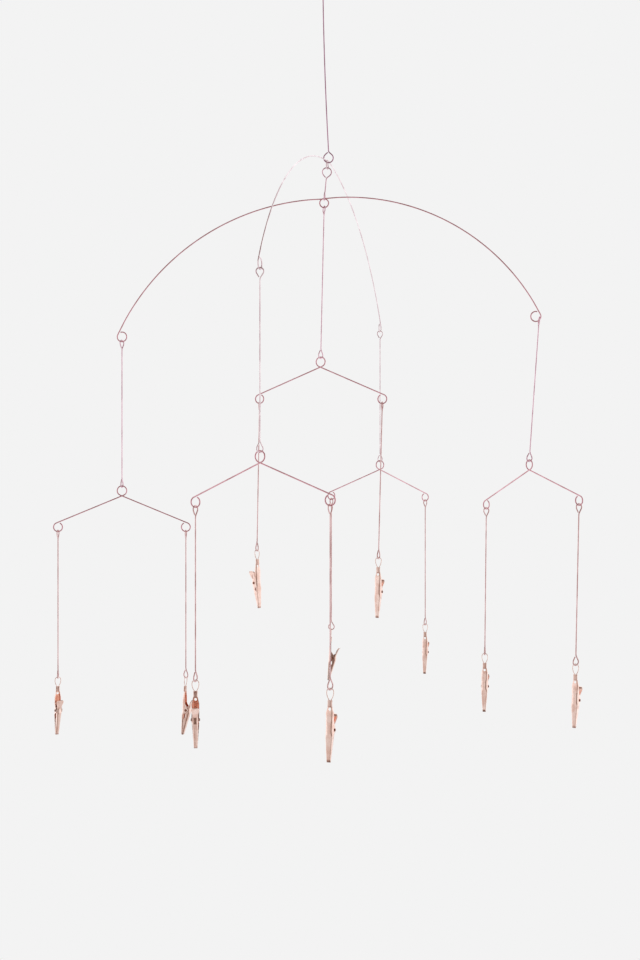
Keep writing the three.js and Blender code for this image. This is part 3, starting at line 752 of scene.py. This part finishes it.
def lever_channel():
    """Sections of the lever, in the same way, from the rounded lip of its thumb plate to its tip."""
    thumb_end = PIVOT_AT - THUMB_REACH
    top = thumb_end - THUMB_LIP / 2
    tip_back = 2 * TIP_DEPTH + JAW_GAP
    root = TIP_DEPTH + SHEET / 2 + JAW_GAP
    nose = CLIP_LENGTH - NOSE_LENGTH
    slope = [(PIVOT_AT + EAR, LEVER_DEPTH), (CLIP_LENGTH, tip_back)]
    back = [
        (top, THUMB_DEPTH + THUMB_LIP),
        (thumb_end, THUMB_DEPTH),
        (PIVOT_AT - EAR, LEVER_DEPTH),
        (PIVOT_AT + EAR, LEVER_DEPTH),
        (nose, along(slope, nose)),
        (CLIP_LENGTH, tip_back - NOSE_DROP),
    ]
    jaw = teeth(root, TIP_DEPTH + JAW_GAP)
    edge = [
        (top, THUMB_DEPTH + THUMB_LIP - 1.6 * SHEET),
        (thumb_end, THUMB_DEPTH - 1.8 * SHEET),
        (thumb_end + THUMB_LIP, THUMB_DEPTH - 3 * SHEET),
        (PIVOT_AT - 2 * EAR, LEVER_DEPTH - 1.5 * SHEET),
        (PIVOT_AT - EAR_SPAN, PIVOT_DEPTH - 0.3 * EAR),
        (PIVOT_AT + EAR_SPAN, PIVOT_DEPTH - 0.3 * EAR),
        (jaw[0][0] - EAR, root + EAR),
        jaw[0],
    ]
    half = [
        (top, 0.62 * THUMB_WIDTH / 2),
        (top + 0.25 * THUMB_LIP, 0.78 * THUMB_WIDTH / 2),
        (thumb_end, 0.88 * THUMB_WIDTH / 2),
        (thumb_end + 0.6 * THUMB_LIP, 0.96 * THUMB_WIDTH / 2),
        (thumb_end + 1.5 * THUMB_LIP, THUMB_WIDTH / 2),
        (PIVOT_AT - 2 * EAR, LEVER_WIDTH / 2),
        (PIVOT_AT + EAR, LEVER_WIDTH / 2),
        (CLIP_LENGTH, TIP_WIDTH / 2),
    ]
    rows = []
    for down in stations_between(top, CLIP_LENGTH, [d for d, _ in jaw]):
        if down < jaw[0][0]:
            deep = eased(edge, down, LEVER_EASE)
            if ear_depth(down):
                deep = min(deep, PIVOT_DEPTH - ear_depth(down))
        else:
            deep = along(jaw, down)
        wide = eased(half, down, THUMB_EASE)
        behind = eased(back, down, min(EAR_EASE, down - top + END_EASE, CLIP_LENGTH - down + END_EASE))
        rows.append([(a, down, d, w) for a, d, w in section(wide, behind, deep, LEVER_CORNER)])
    return rows


def tail_fold():
    """The tail, folded round the bail's feet until its two flaps meet."""
    half = TAIL_WIDTH / 2
    rows = []
    end = TAIL_LENGTH - SHEET / 2
    for down in stations_between(0, end):
        pinch = TAIL_PINCH * math.sin(math.pi * down / end) ** 2
        wide = half - pinch
        ring = [
            (TAIL_SEAM / 2, TAIL_DEPTH - SEAM_TURN, 1),
            (TAIL_SEAM / 2 + SEAM_TURN, TAIL_DEPTH - pinch, SEAM_WORN),
        ]
        for centre, first in ((TAIL_DEPTH - TAIL_CORNER - pinch, math.pi / 2), (TAIL_CORNER, 0)):
            for i in range(FOLD_STEPS + 1):
                turn = first - math.pi / 2 * i / FOLD_STEPS
                across = wide - TAIL_CORNER + TAIL_CORNER * math.cos(turn)
                ring.append((across, centre + TAIL_CORNER * math.sin(turn), 0))
        ring.append((0, 0, 0))
        whole = [(-a, d, w) for a, d, w in ring] + [(a, d, w) for a, d, w in ring[-2::-1]]
        rows.append([(a, down, d, w) for a, d, w in whole])
    return rows


def bail_path():
    """An egg-shaped loop: half round at the top, then a wider bend on each side, down to its feet
    in the tail."""
    fall = BAIL_RISE - BAIL_RADIUS
    sweep = 2 * math.atan((BAIL_RADIUS - BAIL_FOOT) / fall)
    wide = fall / math.sin(sweep)
    right = []
    for i in range(BAIL_TOP_STEPS + 1):
        turn = math.pi / 2 * i / BAIL_TOP_STEPS
        drop = BAIL_RADIUS * (1 - math.cos(turn))
        right.append(Vector((BAIL_RADIUS * math.sin(turn), 0, BAIL_TOP - drop)))
    for i in range(1, BAIL_SIDE_STEPS + 1):
        turn = sweep * i / BAIL_SIDE_STEPS
        across = BAIL_RADIUS - wide * (1 - math.cos(turn))
        right.append(Vector((across, 0, BAIL_TOP - BAIL_RADIUS - wide * math.sin(turn))))
    right.append(Vector((BAIL_FOOT, 0, TAIL_TOP - BAIL_GRIP)))
    left = [Vector((-p.x, 0, p.z)) for p in right[:0:-1]]
    return left + right


def rivet_mesh():
    """A turned pin across the ears, with a domed, dimpled head on each side."""
    face = BASE_WIDTH / 2
    head = RIVET_HEAD / 2
    tall = RIVET_HEAD_HEIGHT
    half = [(face + out * tall, share * head) for out, share in RIVET_DOME]
    half += [(face + HEAD_LIFT, HEAD_FOOT * head), (face - HEAD_SINK, RIVET / 2)]
    outline = half + [(-x, r) for x, r in half[::-1]]
    middle = at(0, PIVOT_AT, PIVOT_DEPTH)
    points, faces = [], []
    for x, r in outline[1:-1]:
        for i in range(RIVET_SIDES):
            turn = 2 * math.pi * i / RIVET_SIDES
            points.append(middle + Vector((x, r * math.cos(turn), r * math.sin(turn))))
    rings = len(outline) - 2
    for r in range(rings - 1):
        for i in range(RIVET_SIDES):
            j = (i + 1) % RIVET_SIDES
            a, b = r * RIVET_SIDES, (r + 1) * RIVET_SIDES
            faces.append((a + i, b + i, b + j, a + j))
    points += [middle + Vector((outline[0][0], 0, 0)), middle + Vector((outline[-1][0], 0, 0))]
    last = (rings - 1) * RIVET_SIDES
    for i in range(RIVET_SIDES):
        j = (i + 1) % RIVET_SIDES
        faces.append((len(points) - 2, i, j))
        faces.append((len(points) - 1, last + j, last + i))
    mesh = bpy.data.meshes.new("rivet")
    mesh.from_pydata(points, [], faces)
    mesh.polygons.foreach_set("use_smooth", [True] * len(faces))
    mesh.set_sharp_from_angle(angle=RIVET_CREASE)
    mesh.materials.append(RIVET_FINISH)
    return mesh


def neck_punch():
    """A round bar through the neck of the base, square to its back."""
    ends = [at(0, NECK_HOLE_AT, depth) for depth in (-BASE_CORNER, BASE_CORNER)]
    bar = swept_wire("punch", ends, NECK_HOLE, INSIDE_LIT_FINISH, NECK_HOLE_SIDES)
    return place(bpy.data.objects.new("punch", bar))


def clip_pieces():
    """The pieces of one clip, apart from its coil."""
    punch = neck_punch()
    base = sheet_mesh("base_jaw", base_channel(), 1, punch)
    bpy.data.batch_remove((punch, punch.data))
    tail = sheet_mesh("tail", tail_fold(), 1)
    lever = sheet_mesh("lever_jaw", lever_channel(), -1)
    bail = swept_wire("bail", bail_path(), BAIL_WIRE, BAIL_FINISH, BAIL_SIDES)
    return {"base": base, "tail": tail, "lever": lever, "bail": bail, "rivet": rivet_mesh()}


def clip_place(swivel, squeeze):
    """From the clip's own frame to its place: turned about the plumb line, then tipped about its
    rivet's line."""
    across = -Vector(squeeze["axis"]).normalized()
    deep = UP.cross(across)
    out = deep * math.cos(CLIP_TILT) + UP * math.sin(CLIP_TILT)
    turn = Matrix((across, out, across.cross(out))).transposed().to_4x4()
    return Matrix.Translation(Vector(swivel["pos_m"])) @ turn


def hang_wires():
    """Each wire is a body with one node of the same name."""
    for body, nodes in frame["record"]["behaviour"]["bodies"].items():
        if nodes == [body] and not body.startswith("clip_lever"):
            finish = next(coat for start, coat in WIRE_FINISHES if body.startswith(start))
            mesh = swept_wire(body + "_wire", centreline(body), WIRE, finish)
            fit(body + "_wire", mesh, body, "copper_wire", body)


def hang_clips():
    """The ten clips, each at its swivel, with the coil that its CAD spring gives."""
    joints = {j["name"]: j for j in frame["joints"]}
    made = clip_pieces()
    for name, squeeze in joints.items():
        if not name.startswith("clip_squeeze_"):
            continue
        where = name.removeprefix("clip_squeeze_")
        spot = clip_place(joints["clip_swivel_" + where], squeeze)
        body, lever = "clip_" + where, "clip_lever_" + where
        for kind, mesh in made.items():
            mine = mesh.copy()
            mine.transform(spot)
            node = {"base": "clip_base_" + where, "lever": lever}.get(kind)
            rides = lever if kind == "lever" else body
            fit(f"{kind}_{where}", mine, rides, "copper_clip", *([node] if node else []))
        spring = "clip_spring_" + where
        coil = swept_wire("coil_" + where, centreline(spring), SPRING_WIRE, SPRING_FINISH, SPRING_SIDES)
        pivot = Vector(squeeze["pos_m"])
        half = Vector(squeeze["axis"]).normalized() * COIL_HALF
        twist = (lever, pivot + half, pivot - half)
        fit("coil_" + where, coil, body, "copper_spring", spring, twist=twist)


stand_camera()
light_studio()
lay_floor()
hang_wires()
hang_clips()
